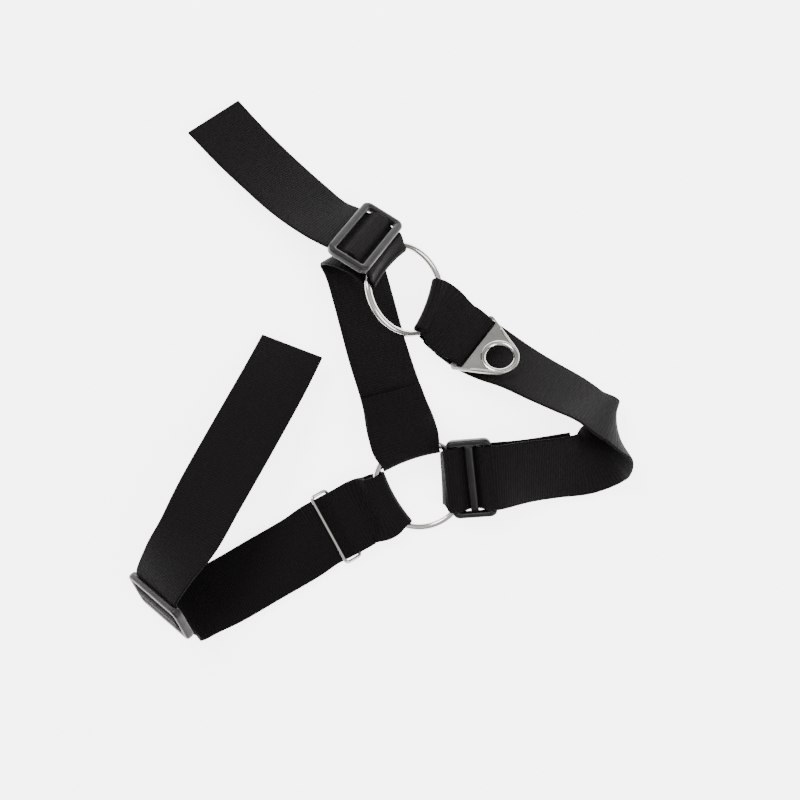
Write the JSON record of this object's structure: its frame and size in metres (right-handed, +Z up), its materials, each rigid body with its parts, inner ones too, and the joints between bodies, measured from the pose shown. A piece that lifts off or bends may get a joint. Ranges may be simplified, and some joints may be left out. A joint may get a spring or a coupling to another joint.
{
  "type": "no pull harness",
  "caption": "Dog harness of black webbing joined at two wire rings, with three-bar sliders, a keeper loop and a hinged leash plate, laid flat.",
  "frame": {"origin": "middle of the underside of the box round the harness as it lies", "axes": "+Z up from the surface it lies on, +Y towards the free end of the shoulder strap, +X towards the chest strap's bend"},
  "size_m": [0.2754, 0.3012, 0.0534],
  "materials": {
    "webbing": "black woven webbing with fine cross ribs",
    "thread": "black sewing thread",
    "plastic": "satin dark grey moulded plastic",
    "steel": "bright plated wire",
    "plate": "satin plated steel with a bright rim"
  },
  "bodies": {
    "straps": {"chest_strap_bend": "webbing", "chest_strap_cut_end": "webbing", "chest_strap_inner_slack": "webbing", "chest_strap_leash_fold": "webbing", "chest_strap_lower_fold": "webbing", "chest_strap_lower_run": "webbing", "chest_strap_outer_slack": "webbing", "chest_strap_upper_fold": "webbing", "chest_strap_upper_run": "webbing", "girth_strap_bend": "webbing", "girth_strap_in_keeper": "webbing", "girth_strap_inner_slack": "webbing", "girth_strap_keeper_fold": "webbing", "girth_strap_lower_fold": "webbing", "girth_strap_outer_slack": "webbing", "girth_strap_run": "webbing", "girth_strap_tail_root": "webbing", "keeper_fold_stitches": "thread", "leash_fold_stitches": "thread", "shoulder_strap_inner_slack": "webbing", "shoulder_strap_lower_fold": "webbing", "shoulder_strap_outer_slack": "webbing", "shoulder_strap_return": "webbing", "shoulder_strap_run": "webbing", "shoulder_strap_sewn_end": "webbing", "shoulder_strap_stitches": "thread", "shoulder_strap_tail_root": "webbing", "shoulder_strap_upper_fold": "webbing"},
    "upper_ring": {"upper_ring": "steel"},
    "lower_ring": {"lower_ring": "steel"},
    "leash_plate": {"leash_plate": "plate"},
    "keeper": {"keeper_loop": "steel"},
    "shoulder_slider": {"shoulder_slider": "plastic", "shoulder_strap_in_slider": "webbing"},
    "chest_slider": {"chest_slider": "plastic", "chest_strap_in_slider": "webbing"},
    "girth_slider": {"girth_slider": "plastic", "girth_strap_in_slider": "webbing"},
    "girth_tail": {"girth_strap_tail": "webbing"},
    "shoulder_tail": {"shoulder_strap_tail": "webbing"}
  },
  "joints": [
    {"name": "upper_ring_spin", "type": "hinge", "parent": "straps", "child": "upper_ring", "pos_m": [0.01461, 0.0427, 0.02265], "axis": [0.5785, 0.1659, 0.7986], "continuous": true},
    {"name": "lower_ring_spin", "type": "hinge", "parent": "straps", "child": "lower_ring", "pos_m": [0.02281, -0.0646, 0.01015], "axis": [0.0626, -0.2337, 0.9703], "continuous": true},
    {"name": "leash_plate_swing", "type": "hinge", "parent": "straps", "child": "leash_plate", "pos_m": [0.05101, 0.0142, 0.01625], "axis": [-0.5766, -0.7249, 0.3769], "range_deg": [-5, 70]},
    {"name": "keeper_swing", "type": "hinge", "parent": "straps", "child": "keeper", "pos_m": [-0.02009, -0.0862, 0.00365], "axis": [-0.4821, 0.8761, 0], "range_deg": [0, 60]},
    {"name": "shoulder_slider_slide", "type": "slide", "parent": "straps", "child": "shoulder_slider", "axis": [-0.8447, 0.5329, -0.0503], "range_m": [0, 0.008], "deforming": ["shoulder_strap_outer_slack", "shoulder_strap_inner_slack"]},
    {"name": "chest_slider_slide", "type": "slide", "parent": "straps", "child": "chest_slider", "axis": [0.9893, 0.0808, 0.1211], "range_m": [0, 0.012], "deforming": ["chest_strap_outer_slack", "chest_strap_inner_slack"]},
    {"name": "shoulder_tail_flex", "type": "hinge", "parent": "straps", "child": "shoulder_tail", "pos_m": [-0.04327, 0.09209, 0.02347], "axis": [0.6834, 0.5088, -0.5235], "range_deg": [0, 50]},
    {"name": "girth_slider_slide", "type": "slide", "parent": "straps", "child": "girth_slider", "axis": [-0.2221, 0.7062, 0.6722], "range_m": [0, 0.003], "deforming": ["girth_strap_outer_slack", "girth_strap_inner_slack"]},
    {"name": "girth_tail_flex", "type": "hinge", "parent": "straps", "child": "girth_tail", "pos_m": [-0.10119, -0.08879, 0.03739], "axis": [0.8227, -0.4496, 0.3478], "range_deg": [0, 45]}
  ]
}
